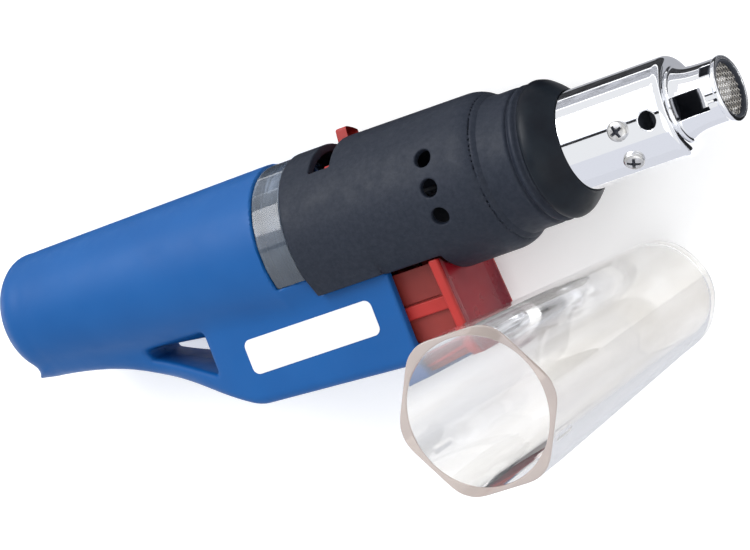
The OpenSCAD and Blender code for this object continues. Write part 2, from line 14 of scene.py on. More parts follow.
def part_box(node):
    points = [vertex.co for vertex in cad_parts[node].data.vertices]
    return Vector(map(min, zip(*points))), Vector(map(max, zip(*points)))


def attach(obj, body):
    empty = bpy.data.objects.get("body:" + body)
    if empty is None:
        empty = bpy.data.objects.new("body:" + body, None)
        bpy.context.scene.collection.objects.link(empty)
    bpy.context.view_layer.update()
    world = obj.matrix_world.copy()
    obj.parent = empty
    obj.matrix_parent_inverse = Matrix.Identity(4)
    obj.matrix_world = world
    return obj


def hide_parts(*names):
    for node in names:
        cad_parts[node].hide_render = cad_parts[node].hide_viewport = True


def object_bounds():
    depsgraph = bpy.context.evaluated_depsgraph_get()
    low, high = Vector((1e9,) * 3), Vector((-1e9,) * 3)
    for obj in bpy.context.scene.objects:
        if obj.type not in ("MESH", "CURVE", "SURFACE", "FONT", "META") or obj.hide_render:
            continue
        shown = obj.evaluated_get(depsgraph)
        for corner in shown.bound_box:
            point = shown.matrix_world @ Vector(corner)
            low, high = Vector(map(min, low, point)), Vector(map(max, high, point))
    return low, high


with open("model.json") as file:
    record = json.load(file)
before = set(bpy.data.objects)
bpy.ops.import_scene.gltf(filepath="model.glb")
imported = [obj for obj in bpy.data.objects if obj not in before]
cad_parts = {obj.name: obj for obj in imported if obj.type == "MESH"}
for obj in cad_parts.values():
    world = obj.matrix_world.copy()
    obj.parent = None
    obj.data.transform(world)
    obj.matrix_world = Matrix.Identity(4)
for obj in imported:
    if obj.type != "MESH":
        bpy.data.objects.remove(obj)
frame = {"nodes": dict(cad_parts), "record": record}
cad_box = [list(corner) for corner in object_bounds()]

MM = 0.001
TIP_FRONT = 37.4  # the nozzle's front, ahead of the nose lip
tip_low, tip_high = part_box("burner_tip")
AXIS = Vector((tip_high.x - TIP_FRONT * MM, (tip_low.y + tip_high.y) / 2, (tip_low.z + tip_high.z) / 2))


def place(points):
    """Points in millimetres about the barrel axis, as points of the frame in metres."""
    return np.asarray(points, float) * MM + np.array(AXIS)


def span(node):
    """A CAD node's lowest and highest corners, in millimetres about the barrel axis."""
    return [[(a - b) / MM for a, b in zip(corner, AXIS)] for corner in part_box(node)]


# ------------------------------------------------------------------ camera, floor and light

VIEW_SPOT = (394.0, 48.3, 806.2)  # the lens, about the barrel axis
VIEW_RIGHT, VIEW_UP = (0.8231, -0.3593, -0.4397), (0.2825, 0.9308, -0.2318)  # the picture's directions
SENSOR, LENS = 36, 192
CARD_TINT = (0.96, 0.98, 1.05)  # a cool white
FLOOR_HALF = 3.0
LIFT = 0.0006  # cards on the floor lie this far above the object's underside


def link(obj):
    bpy.context.scene.collection.objects.link(obj)
    return obj


def camera():
    """The photograph's view: a long lens above the nozzle side, rolled so that the torch rises to the right."""
    right = Vector(VIEW_RIGHT).normalized()
    back = right.cross(Vector(VIEW_UP)).normalized()
    up = back.cross(right)
    data = bpy.data.cameras.new("camera")
    data.sensor_width = SENSOR
    data.lens = LENS
    data.clip_start = 0.05
    data.clip_end = 20
    cam = link(bpy.data.objects.new("camera", data))
    turn = Matrix((right, up, back)).transposed().to_4x4()
    cam.matrix_world = Matrix.Translation(Vector(place(VIEW_SPOT))) @ turn
    bpy.context.scene.camera = cam


def card(name, corner, side_a, side_b, grey, speck=0.0):
    """A flat studio card, seen only in reflections, that shapes the bands on the chrome.

    grey is its brightness, and speck is how much of that comes and goes in fine grain.
    """
    a, b, c = Vector(corner), Vector(side_a), Vector(side_b)
    mesh = bpy.data.meshes.new(name)
    mesh.from_pydata([a, a + b, a + b + c, a + c], [], [(0, 1, 2, 3)])
    obj = link(bpy.data.objects.new(name, mesh))
    mat = bpy.data.materials.new(name)
    mat.use_nodes = True
    tree = mat.node_tree
    tree.nodes.clear()
    glow = tree.nodes.new("ShaderNodeEmission")
    glow.inputs["Color"].default_value = (*(grey * tint for tint in CARD_TINT), 1)
    if speck:
        where = tree.nodes.new("ShaderNodeTexCoord").outputs["Object"]
        noise = tree.nodes.new("ShaderNodeTexNoise")
        noise.inputs["Scale"].default_value = 220
        noise.inputs["Detail"].default_value = 4
        noise.inputs["Roughness"].default_value = 0.8
        tree.links.new(where, noise.inputs["Vector"])
        spread = tree.nodes.new("ShaderNodeMapRange")
        for socket, value in (("From Min", 0.40), ("From Max", 0.60), ("To Min", 1 - speck), ("To Max", 1 + speck)):
            spread.inputs[socket].default_value = value
        tree.links.new(noise.outputs[0], spread.inputs["Value"])
        tree.links.new(spread.outputs[0], glow.inputs["Strength"])
    tree.links.new(glow.outputs[0], tree.nodes.new("ShaderNodeOutputMaterial").inputs["Surface"])
    mesh.materials.append(mat)
    obj.visible_camera = False
    obj.visible_shadow = False
    obj.visible_diffuse = False
    obj.visible_transmission = False
    obj.visible_volume_scatter = False


def make_world():
    world = bpy.data.worlds.new("studio")
    bpy.context.scene.world = world
    world.use_nodes = True
    background = world.node_tree.nodes["Background"]
    background.inputs["Color"].default_value = (0.98, 0.99, 1.0, 1)
    background.inputs["Strength"].default_value = 0.88


def make_floor():
    """A wide pale floor just under the object."""
    corners = [(FLOOR_HALF * a, FLOOR_HALF * b, 0) for a, b in ((-1, -1), (1, -1), (1, 1), (-1, 1))]
    mesh = bpy.data.meshes.new("floor")
    mesh.from_pydata(corners, [], [(0, 1, 2, 3)])
    floor = link(bpy.data.objects.new("floor", mesh))
    floor.location.z = cad_box[0][2] - 0.0002
    mat = bpy.data.materials.new("floor")
    mat.use_nodes = True
    shader = mat.node_tree.nodes["Principled BSDF"]
    shader.inputs["Base Color"].default_value = (0.95, 0.95, 0.95, 1)
    shader.inputs["Emission Color"].default_value = (1, 1, 1, 1)
    shader.inputs["Emission Strength"].default_value = 0.22
    shader.inputs["Roughness"].default_value = 0.7
    shader.inputs["Specular IOR Level"].default_value = 0.2
    mesh.materials.append(mat)


def lamp(name, spot, size, power):
    """A soft square light that shines on the middle of the frame."""
    data = bpy.data.lights.new(name, "AREA")
    data.shape = "RECTANGLE"
    data.size = data.size_y = size
    data.energy = power
    obj = link(bpy.data.objects.new(name, data))
    obj.location = spot
    obj.rotation_euler = (-Vector(spot)).to_track_quat("-Z", "Y").to_euler()


def make_cards():
    """Cards in the frame's metres.  Those at height low lie on the floor, and grey_side stands up from it."""
    low = cad_box[0][2] + LIFT
    card("near_floor", (-0.15, 0.012, low), (0.36, 0, 0), (0, 0.028, 0), 0.45)
    card("dark_floor", (-0.15, 0.040, low), (0.36, 0, 0), (0, 0.026, 0), 0.05, 0.5)
    card("tip_floor", (0.1028, -0.03, low), (0.05, 0, 0), (0, 0.068, 0), 0.02)
    card("grey_floor", (-0.6, 0.072, low), (0.9, 0, 0), (0, 0.45, 0), 0.50, 0.8)
    card("dark_bar", (-1.1, 0.07, 1.0), (1.5, 0, 0), (0, 0.10, 0), 0.03)
    card("soft_top", (-1.1, 0.17, 1.0), (1.5, 0, 0), (0, 0.9, 0), 1.4)
    card("side_floor", (-0.6, -0.6, low), (1.2, 0, 0), (0, 0.58, 0), 0.74)
    card("grey_side", (-1.2, -0.62, low), (1.7, 0, 0), (0, 0, 0.75), 0.78)


def studio():
    bpy.context.scene.view_settings.view_transform = "Standard"
    make_world()
    make_floor()
    lamp("key", (-0.35, 0.85, 0.75), 0.8, 9)
    lamp("fill", (0.7, -0.5, 1.0), 1.2, 3)
    make_cards()


# ------------------------------------------------------------------ distance shapes

def smooth_min(a, b, k):
    """Two distances joined with a fillet about k wide."""
    h = np.clip(0.5 + 0.5 * (b - a) / k, 0, 1)
    return b + (a - b) * h - k * h * (1 - h)


def smooth_max(a, b, k):
    """What two distances share, with its edge eased over k."""
    return -smooth_min(-a, -b, k)


def arc(cx, cy, r, a0, a1, n=8):
    """Points of an arc about (cx, cy), from angle a0 to a1 in degrees."""
    turns = [math.radians(a0 + (a1 - a0) * i / n) for i in range(n + 1)]
    return [(cx + r * math.cos(t), cy + r * math.sin(t)) for t in turns]


def outline(x, y, points):
    """Signed distance from (x, y) to a closed outline."""
    best, sign = np.inf, 1.0
    for (ax, ay), (bx, by) in zip(points, points[1:] + points[:1]):
        ex, ey, wx, wy = bx - ax, by - ay, x - ax, y - ay
        t = np.clip((wx * ex + wy * ey) / (ex * ex + ey * ey), 0, 1)
        best = np.minimum(best, (wx - ex * t) ** 2 + (wy - ey * t) ** 2)
        c = (y >= ay).astype(int) + (y < by).astype(int) + (ex * wy > ey * wx).astype(int)
        sign = np.where((c == 3) | (c == 0), -sign, sign)
    return sign * np.sqrt(best)


def rounded(a, b, r):
    """Two distances met by an outer edge of radius r."""
    return np.minimum(np.maximum(a + r, b + r), 0) + np.hypot(np.maximum(a + r, 0), np.maximum(b + r, 0)) - r


def slab(x, low, high):
    """Distance to the space between two planes."""
    return np.maximum(low - x, x - high)


def brick(x, y, z, low, high, r):
    """Distance to a block with rounded edges."""
    return rounded(rounded(slab(x, low[0], high[0]), slab(y, low[1], high[1]), r), slab(z, low[2], high[2]), r)


def angle_of(y, z):
    """Angle about the barrel axis, from +z towards +y, in degrees."""
    return np.degrees(np.arctan2(y, z))


def ease(t):
    """A ramp from 0 to 1 that starts and ends level."""
    t = np.clip(t, 0, 1)
    return t * t * (3 - 2 * t)


def polar(y, z, a):
    """Distances across and out from the axis, seen along the direction at angle a."""
    t = math.radians(a)
    return y * math.cos(t) - z * math.sin(t), y * math.sin(t) + z * math.cos(t)


def side_hole(x, y, z, spot, a, r):
    """A round hole from the axis outwards at angle a."""
    across, out = polar(y, z, a)
    return np.maximum(np.hypot(x - spot, across) - r, -out)


def net(shape, low, high, step):
    """Surface net of a distance shape, with its points settled onto the surface."""
    counts = [int(math.ceil((b - a) / step)) + 1 for a, b in zip(low, high)]
    axes = [a + step * np.arange(n) for a, n in zip(low, counts)]
    x, y, z = axes[0][:, None, None], axes[1][None, :, None], axes[2][None, None, :]
    v = np.broadcast_to(shape(x, y, z), counts)
    inside = v < 0
    corners = [(i, j, k) for i in (0, 1) for j in (0, 1) for k in (0, 1)]
    cell = [n - 1 for n in counts]
    total = sum(inside[tuple(slice(c, c + n) for c, n in zip(corner, cell))].astype(np.int8) for corner in corners)
    active = (total > 0) & (total < 8)
    where = np.argwhere(active)
    number = -np.ones(cell, int)
    number[active] = np.arange(len(where))
    value = np.stack([v[tuple((where + c).T)] for c in corners], 1)
    spot, hits = np.zeros((len(where), 3)), np.zeros((len(where), 1))
    for a, ca in enumerate(corners):
        for b, cb in enumerate(corners):
            if b > a and sum(abs(p - q) for p, q in zip(ca, cb)) == 1:
                va, vb = value[:, a], value[:, b]
                cross = (va < 0) != (vb < 0)
                t = np.where(cross, va / np.where(cross, va - vb, 1), 0)[:, None]
                spot += np.where(cross[:, None], np.array(ca) + t * (np.array(cb) - np.array(ca)), 0)
                hits += cross[:, None]
    points = np.array(low) + step * (where + spot / hits)
    quads = []
    for d in range(3):
        e, f = (d + 1) % 3, (d + 2) % 3
        first = np.take(inside, range(counts[d] - 1), d)
        second = np.take(inside, range(1, counts[d]), d)
        at = np.argwhere(first != second)
        at = at[(at[:, e] > 0) & (at[:, f] > 0) & (at[:, e] < counts[e] - 1) & (at[:, f] < counts[f] - 1)]
        ring = []
        for de, df in ((-1, -1), (0, -1), (0, 0), (-1, 0)):
            c = at.copy()
            c[:, e] += de
            c[:, f] += df
            ring.append(number[tuple(c.T)])
        ring = np.stack(ring, 1)
        out = first[tuple(at.T)]
        quads.append(np.where(out[:, None], ring, ring[:, ::-1]))
    quads = np.concatenate(quads)
    for _ in range(2):
        points = settle(shape, relax(points, quads), step)
    return settle(shape, points, step), quads


def gradient(shape, p, h=0.02):
    """Slope of a distance shape at points, by differences."""
    g = np.empty_like(p)
    for i in range(3):
        q = [p[:, 0], p[:, 1], p[:, 2]]
        q[i] = p[:, i] + h
        ahead = shape(*q)
        q[i] = p[:, i] - h
        g[:, i] = (ahead - shape(*q)) / (2 * h)
    return g


def settle(shape, points, step):
    """Points moved down the slope onto the shape's surface."""
    for _ in range(2):
        d = shape(points[:, 0], points[:, 1], points[:, 2])
        g = gradient(shape, points)
        move = -(d / np.maximum((g * g).sum(1), 0.2))[:, None] * g
        points = points + np.clip(move, -step, step)
    return points


def relax(points, quads):
    """Points drawn halfway to the middle of their neighbours."""
    total, count = np.zeros_like(points), np.zeros((len(points), 1))
    for i in range(4):
        a, b = quads[:, i], quads[:, (i + 1) % 4]
        np.add.at(total, a, points[b])
        np.add.at(total, b, points[a])
        np.add.at(count, a, 1)
        np.add.at(count, b, 1)
    return 0.5 * points + 0.5 * total / np.maximum(count, 1)


# ------------------------------------------------------------------ meshes

def piece(name, points, faces, body, slot, *nodes, normals=None, sharp=None):
    """A mesh piece from points in millimetres about the barrel axis."""
    mesh = bpy.data.meshes.new(name)
    mesh.from_pydata(place(points).tolist(), [], [list(map(int, f)) for f in faces])
    mesh.update()
    obj = link(bpy.data.objects.new(name, mesh))
    mesh.shade_smooth()
    if sharp:
        mesh.set_sharp_from_angle(angle=math.radians(sharp))
    if normals is not None:
        mesh.normals_split_custom_set_from_vertices(normals.tolist())
    return dress(obj, body, slot, *nodes)


def dress(obj, body, slot, *nodes):
    """A piece's material, from its slot, the CAD nodes it replaces hidden, and the body it rides."""
    obj.data.materials.clear()
    obj.data.materials.append(MATERIALS[slot])
    if nodes:
        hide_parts(*nodes)
    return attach(obj, body)


def carve(name, shape, low, high, step, body, slot, *nodes):
    """A piece cut from a distance shape."""
    points, quads = net(shape, low, high, step)
    g = gradient(shape, points)
    g /= np.maximum(np.linalg.norm(g, axis=1), 1e-9)[:, None]
    return piece(name, points, quads, body, slot, *nodes, normals=g)


def paint(obj, slot, chosen):
    """A further material on the faces still in the first one that chosen(face, centre) picks.

    centre is the face's middle, in millimetres about the barrel axis.
    """
    number = len(obj.data.materials)
    obj.data.materials.append(MATERIALS[slot])
    for face in obj.data.polygons:
        if face.material_index == 0 and chosen(face, (face.center - AXIS) / MM):
            face.material_index = number


def strips(rings, n, closed=False):
    """Faces between rings of n points each, and from the last ring to the first if closed."""
    return [(i * n + j, i * n + (j + 1) % n, (i + 1) % rings * n + (j + 1) % n, (i + 1) % rings * n + j)
            for i in range(rings if closed else rings - 1) for j in range(n)]


def revolve(profile, n=160):
    """Points and faces of a closed profile of (x, radius) turned about the barrel axis."""
    a = np.arange(n) * 2 * math.pi / n
    points = [(x, r * math.sin(t), r * math.cos(t)) for x, r in profile for t in a]
    return points, strips(len(profile), n, closed=True)


def spline(points, steps=6):
    """A smooth line through points."""
    p = np.array(points, float)
    out = []
    for i in range(len(p) - 1):
        a, b, c, d = p[max(i - 1, 0)], p[i], p[i + 1], p[min(i + 2, len(p) - 1)]
        bend, twist = a - 2.5 * b + 2 * c - d / 2, 3 * (b - c) + d - a
        for t in np.arange(steps) / steps:
            out.append(b + t * (c - a) / 2 + t * t * bend + t ** 3 * twist / 2)
    return [tuple(q) for q in out] + [tuple(p[-1])]


def outward(obj):
    """Turn every face of a closed mesh outwards."""
    bm = bmesh.new()
    bm.from_mesh(obj.data)
    bmesh.ops.recalc_face_normals(bm, faces=bm.faces)
    bm.to_mesh(obj.data)
    bm.free()
    return obj


# ------------------------------------------------------------------ materials

MATERIALS = {}


class Finish:
    """A procedural material: constants sit on the shader, and what varies over the surface comes from noise."""

    def __init__(self, slot, colour, **sockets):
        self.mat = bpy.data.materials.new(slot)
        self.mat.use_nodes = True
        self.tree = self.mat.node_tree
        self.shader = self.tree.nodes["Principled BSDF"]
        self.colour = colour
        self.shader.inputs["Base Color"].default_value = (*colour, 1)
        for name, value in sockets.items():
            self.shader.inputs[name.replace("_", " ")].default_value = value
        self.normal = None
        MATERIALS[slot] = self.mat

    def node(self, kind, **values):
        n = self.tree.nodes.new(kind)
        for name, value in values.items():
            if name in n.inputs:
                n.inputs[name].default_value = value
            else:
                setattr(n, name, value)
        return n

    def link(self, a, b):
        self.tree.links.new(a, b)

    def noise(self, scale, detail=3, roughness=0.55, stretch=(1, 1, 1)):
        where = self.node("ShaderNodeTexCoord").outputs["Object"]
        squeeze = self.node("ShaderNodeMapping", Scale=stretch)
        n = self.node("ShaderNodeTexNoise", Scale=scale, Detail=detail, Roughness=roughness)
        self.link(where, squeeze.inputs["Vector"])
        self.link(squeeze.outputs[0], n.inputs["Vector"])
        return n.outputs[0]

    def ramp(self, value, low, high, to_low=0.0, to_high=1.0):
        n = self.node("ShaderNodeMapRange")
        for name, v in zip(("From Min", "From Max", "To Min", "To Max"), (low, high, to_low, to_high)):
            n.inputs[name].default_value = v
        self.link(value, n.inputs["Value"])
        return n.outputs[0]

    def mottle(self, other, scale, low=0.35, high=0.65, **noise):
        """The colour drifts towards another one in soft patches."""
        mix = self.node("ShaderNodeMix", data_type="RGBA")
        colour_in = [s for s in mix.inputs if s.type == "RGBA"]
        colour_in[0].default_value = (*self.colour, 1)
        colour_in[1].default_value = (*other, 1)
        self.link(self.ramp(self.noise(scale, **noise), low, high), mix.inputs["Factor"])
        self.link([s for s in mix.outputs if s.type == "RGBA"][0], self.shader.inputs["Base Color"])
        return self

    def gloss(self, low, high, scale, **noise):
        """The roughness drifts between two values."""
        self.link(self.ramp(self.noise(scale, **noise), 0.35, 0.65, low, high), self.shader.inputs["Roughness"])
        return self

    def grain(self, scale, strength, depth_mm, **noise):
        """A fine relief."""
        bump = self.node("ShaderNodeBump", Strength=strength, Distance=depth_mm * MM)
        self.link(self.noise(scale, **noise), bump.inputs["Height"])
        if self.normal:
            self.link(self.normal, bump.inputs["Normal"])
        self.normal = bump.outputs[0]
        self.link(self.normal, self.shader.inputs["Normal"])
        return self


def make_materials():
    """The finishes of the record's material slots, and those for faces that look different from their piece, which
    are darker finishes of painted shade.
    """
    blue = Finish("blue_plastic", (0.002, 0.080, 0.285), Roughness=0.46, Specular_IOR_Level=0.24)
    blue.mottle((0.004, 0.090, 0.310), 45, detail=2).gloss(0.40, 0.52, 220)
    blue.grain(2600, 0.35, 0.05).grain(160, 0.12, 0.3, detail=1)

    black = Finish("black_plastic", (0.009, 0.014, 0.026), Roughness=0.55, Specular_IOR_Level=0.25)
    black.mottle((0.017, 0.022, 0.036), 900, detail=4, roughness=0.7).gloss(0.48, 0.62, 300)
    black.grain(3200, 0.5, 0.06).grain(120, 0.1, 0.3, detail=1)

    rubber = Finish("rubber", (0.002, 0.004, 0.009), Roughness=0.42, Specular_IOR_Level=0.2)
    rubber.mottle((0.005, 0.009, 0.015), 160).gloss(0.34, 0.5, 120).grain(900, 0.15, 0.06)

    smoke = Finish("smoke_plastic", (0.42, 0.50, 0.62), Roughness=0.08, Transmission_Weight=0.75, IOR=1.5,
                   Coat_Weight=0.3)
    # large patches that swing between light and near-black: painted reflections and highlights on the band, over
    # its own uneven tone
    smoke.mottle((0.10, 0.13, 0.18), 48, detail=2).gloss(0.05, 0.12, 200).grain(300, 0.05, 0.1)

    red = Finish("red_plastic", (0.430, 0.028, 0.024), Roughness=0.38, Specular_IOR_Level=0.3)
    red.mottle((0.370, 0.024, 0.020), 90).gloss(0.32, 0.44, 260).grain(1800, 0.2, 0.05)

    # a darker copy of the red: painted shade for the trigger's sides
    side = Finish("red_side_painted_shade", (0.250, 0.030, 0.024), Roughness=0.45, Specular_IOR_Level=0.3)
    side.mottle((0.200, 0.024, 0.020), 90).gloss(0.4, 0.5, 260).grain(1800, 0.2, 0.05)

    # a darker, deeper copy of the red: painted shade in the trigger plate's dish
    face = Finish("red_face_painted_shade", (0.300, 0.004, 0.014), Roughness=0.3, Specular_IOR_Level=0.3)
    face.mottle((0.170, 0.004, 0.016), 60, detail=1).gloss(0.26, 0.36, 260).grain(1800, 0.1, 0.05)

    chrome = Finish("chrome", (0.93, 0.94, 0.97), Metallic=1.0, Roughness=0.05)
    chrome.gloss(0.03, 0.085, 160, detail=5).grain(420, 0.10, 0.03, detail=4).grain(60, 0.05, 0.2, detail=1)

    steel = Finish("steel", (0.50, 0.50, 0.52), Metallic=1.0, Roughness=0.28)
    steel.mottle((0.38, 0.38, 0.40), 300).gloss(0.2, 0.36, 400).grain(2000, 0.2, 0.02, stretch=(0.1, 1, 1))

    screw = Finish("screw_steel", (0.74, 0.74, 0.75), Metallic=1.0, Roughness=0.2)
    screw.mottle((0.50, 0.49, 0.47), 600).gloss(0.14, 0.30, 700).grain(2500, 0.2, 0.02)

    brass = Finish("brass", (0.72, 0.50, 0.20), Metallic=1.0, Roughness=0.27)
    brass.mottle((0.60, 0.38, 0.13), 250).gloss(0.2, 0.38, 350).grain(1500, 0.2, 0.03, stretch=(4, 1, 1))

    ceramic = Finish("ceramic", (0.74, 0.69, 0.60), Roughness=0.72)
    ceramic.mottle((0.62, 0.56, 0.47), 300).grain(1600, 0.5, 0.05)

    ivory = Finish("white_plastic", (0.72, 0.69, 0.61), Roughness=0.4)
    ivory.mottle((0.66, 0.62, 0.53), 80).gloss(0.34, 0.48, 300).grain(1500, 0.2, 0.03)

    seal = Finish("seal_rubber", (0.02, 0.02, 0.02), Roughness=0.5)
    seal.mottle((0.035, 0.035, 0.035), 300).grain(900, 0.2, 0.04)

    sheath = Finish("wire_sheath", (0.05, 0.05, 0.055), Roughness=0.45)
    sheath.mottle((0.07, 0.07, 0.075), 300).grain(1200, 0.2, 0.03)

    label = Finish("label_film", (0.84, 0.84, 0.86), Roughness=0.3, Coat_Weight=0.3, Coat_Roughness=0.15)
    label.mottle((0.80, 0.80, 0.83), 220).gloss(0.26, 0.36, 300).grain(900, 0.06, 0.03)

    wire = Finish("mesh_wire", (0.85, 0.82, 0.78), Metallic=1.0, Roughness=0.35)
    wire.mottle((0.62, 0.58, 0.52), 500).gloss(0.3, 0.45, 600)

    clear = Finish("clear_plastic", (0.950, 0.945, 0.935), Roughness=0.04, Transmission_Weight=0.94, IOR=1.28,
                   Coat_Weight=0.6, Coat_Roughness=0.05)
    clear.mottle((0.83, 0.81, 0.78), 110, detail=3, stretch=(1, 1, 0.06)).gloss(0.02, 0.09, 60, detail=2)
    clear.grain(60, 0.06, 0.5, detail=2, stretch=(1, 1, 0.15))

    # painted shade: a near-black laid on faces that sit in shade, inside the burner, in the screw crosses and on
    # the hole's wall
    painted_shade = Finish("painted_shade", (0.030, 0.036, 0.050), Roughness=0.6, Specular_IOR_Level=0.3)
    painted_shade.mottle((0.050, 0.055, 0.070), 300).grain(900, 0.2, 0.05)

    # painted shade: a darker, less clear grey on the cap rim, standing in for how its thick edge darkens the light
    # through it
    edge = Finish("clear_rim_painted_shade", (0.53, 0.45, 0.41), Roughness=0.12, Transmission_Weight=0.35, IOR=1.45)
    edge.mottle((0.45, 0.38, 0.35), 60).gloss(0.08, 0.18, 90)


# ------------------------------------------------------------------ handle

# the tank's cover: its rear end, how far its axis lies above the barrel's, its length and its domed end
CONE_REAR, CONE_RISE, CONE_LEN, DOME = -152.8, 4.0, 72.8, 9.0
CONE_R_REAR, CONE_R_FRONT = 14.6, 19.0
BAND_REAR = CONE_REAR + CONE_LEN
SHELL = 2.0
PORT_R, PORT_END = 4.75, -150
# the grip block and the strut behind it, seen from the side and by their half widths
BLOCK_REAR, BLOCK_FRONT, BLOCK_HALF = -99.0, -53.4, 13.0
STRUT_END, STRUT_HALF = -124.0, 7.4
SIDE = (arc(-161.9, -90.7, 80, 88, 63.5, 10) + arc(-95.4, -23.2, 10, 243.6, 267, 6)
        + [(-40, -36.1), (-40, -2), (-150, -2)])
HOLE_ROUND = 0.8  # the outline below is grown by this much
HOLE = [(-124.5, -13.2), (-107.1, -13.2), (-107.1, -22.0), (-124.1, -14.3)]
# how far below the axis the smoked band and the barrel's skirts reach
BAND_DROP, SKIRT_DROP = 8.3, 12.8
BARREL_REAR = span("barrel_housing")[0][0] + 0.7
PLATE_FRONT = -39.3  # the trigger plate's front, at the middle of its height
TRIGGER_ROOM = 13.2  # depth of the flat cut under the barrel, where the trigger slides


def cone(x, y, z, grow=0.0):
    """The fuel tank's cover: a cone with a domed rear end."""
    t = math.atan(CONE_RISE / CONE_LEN)
    u = (x - CONE_REAR) * math.cos(t) - (y - CONE_RISE) * math.sin(t)
    v = (x - CONE_REAR) * math.sin(t) + (y - CONE_RISE) * math.cos(t)
    r = np.hypot(v, z)
    slope = (CONE_R_FRONT - CONE_R_REAR) / CONE_LEN
    side = (r - CONE_R_REAR - grow - slope * u) / math.hypot(1, slope)
    a, b = CONE_R_REAR + grow, DOME + grow
    k = np.hypot(r / a, u / b)
    dome = (k - 1) * k / np.maximum(np.hypot(r / a ** 2, u / b ** 2), 1e-6)
    w = ease((u + 4) / 8)
    return side * w + np.where(u > 4, 0, dome) * (1 - w)


def handle(x, y, z):
    """Cover, block and strut in one, hollow, with the opening, the room for the band and the refill port."""
    t = ease((x - STRUT_END) / (BLOCK_REAR - STRUT_END))
    half = STRUT_HALF + (BLOCK_HALF - STRUT_HALF) * t
    grip = rounded(outline(x, y, SIDE), 0.96 * (np.abs(z) - half), 4.5 - 2.3 * t)
    tube = cone(x, y, z) + 0.3 * np.maximum(x - BAND_REAR, 0)  # the cover fades out past its front
    body = smooth_min(tube, grip, 3.6 - 1.4 * t)
    hole = smooth_max(outline(x, y, HOLE) - HOLE_ROUND, -tube - 0.9, 0.6)
    body = smooth_max(body, -hole, 1.5)
    space = rounded(rounded(slab(x, -100.2, -30), slab(y, -31, 0), 1), np.abs(z) - BLOCK_HALF + 2.6, 1)
    body = np.maximum(body, -np.minimum(np.maximum(tube + SHELL, x - BAND_REAR - 1), space))
    body = smooth_max(body, x - BLOCK_FRONT, 0.7)
    room = np.maximum(BAND_REAR - x, -BAND_DROP - y)
    skirt_room = np.maximum(BARREL_REAR - 0.2 - x, -SKIRT_DROP - y)
    body = smooth_max(body, -np.minimum(room, skirt_room), 0.4)
    port = np.maximum(np.hypot(y - CONE_RISE, z) - PORT_R, x - PORT_END)
    return smooth_max(body, -port, 0.5)


def make_handle():
    """The two shells, cut from one net on either side of the mid-plane with a fine gap between them."""
    points, quads = net(handle, (-163.5, -37, -20.5), (-51, 21, 20.5), 0.55)
    for node, sign in (("handle_shell_right", 1), ("handle_shell_left", -1)):
        obj = piece(node + "_skin", points, quads, "torch", "blue_plastic", node)
        bm = bmesh.new()
        bm.from_mesh(obj.data)
        plane = Vector(place([0, 0, 0.05 * sign]))
        cut = bmesh.ops.bisect_plane(bm, geom=bm.verts[:] + bm.edges[:] + bm.faces[:], plane_co=plane,
                                     plane_no=(0, 0, -sign), clear_outer=True)
        rim = [e for e in cut["geom_cut"] if isinstance(e, bmesh.types.BMEdge)]
        bmesh.ops.triangle_fill(bm, edges=rim, use_beauty=True, use_dissolve=False, normal=(0, 0, -sign))
        bm.to_mesh(obj.data)
        bm.free()
        obj.data.set_sharp_from_angle(angle=math.radians(50))


# ------------------------------------------------------------------ barrel and nose

BARREL_R, BARREL_WALL, BARREL_FRONT = 18.9, 2.0, -18.0
COLLAR_R, SEAT_R = 16.1, 16.32
SKIRT = [(-3.0, 18.0), (-7.0, 17.56), (-12.8, 15.3), (-12.8, 13.1), (-7, 15.6), (-3, 16.4)]
VENTS, VENT_X, VENT_R = (29.5, 7.5, -14), -32.3, 2.1
SLOT = (-63.8, -57.9, 49.5, 121)  # from x to x, and from angle to angle


def barrel(x, y, z):
    """The housing: a tube with a round front, two skirts, vents, the lever's slot and a cut for the trigger."""
    r = np.hypot(y, z)
    radius = BARREL_R - 0.011 * np.maximum(x + 55, 0)
    outer = rounded(r - radius, slab(x, BARREL_REAR, BARREL_FRONT), 0.5)
    slope = (r - COLLAR_R - 0.2) * 0.72 + (x - BARREL_FRONT + 1.2) * 0.69  # the front's bevel to the collar
    outer = np.maximum(outer, smooth_max(r - radius, slope, 2.2))
    bore = np.minimum(np.maximum(r - BARREL_R + BARREL_WALL, x - BARREL_FRONT + 2.8), r - COLLAR_R + 0.9)
    shell = smooth_max(outer, -bore, 0.9)
    shell = smooth_max(shell, np.minimum(-SKIRT_DROP - y, BLOCK_FRONT - x), 0.4)
    side = outline(np.broadcast_to(y, np.broadcast(y, z).shape), np.abs(z), SKIRT)
    skirt = rounded(side, np.maximum(BARREL_REAR - x, x - BLOCK_FRONT), 0.4)
    body = smooth_min(shell, skirt, 0.8)
    body = smooth_max(body, BARREL_REAR - x + 0.12 * np.maximum(-7 - y, 0), 0.5)
    for vent in VENTS:
        for a in (vent, 180 - vent):
            body = smooth_max(body, -side_hole(x, y, z, VENT_X, a, VENT_R), 0.35)
    mid, half = (SLOT[2] + SLOT[3]) / 2, (SLOT[3] - SLOT[2]) / 2
    turn = np.radians(np.abs(angle_of(y, z) - mid) - half) * np.maximum(r, 1)
    gap = rounded(slab(x, SLOT[0], SLOT[1]), turn, 0.5)
    body = smooth_max(body, -np.maximum(gap, 12 - r), 0.35)
    under = np.maximum(slab(x, BLOCK_FRONT - 1, PLATE_FRONT + 0.7), y + TRIGGER_ROOM)
    return smooth_max(body, -under, 0.3)


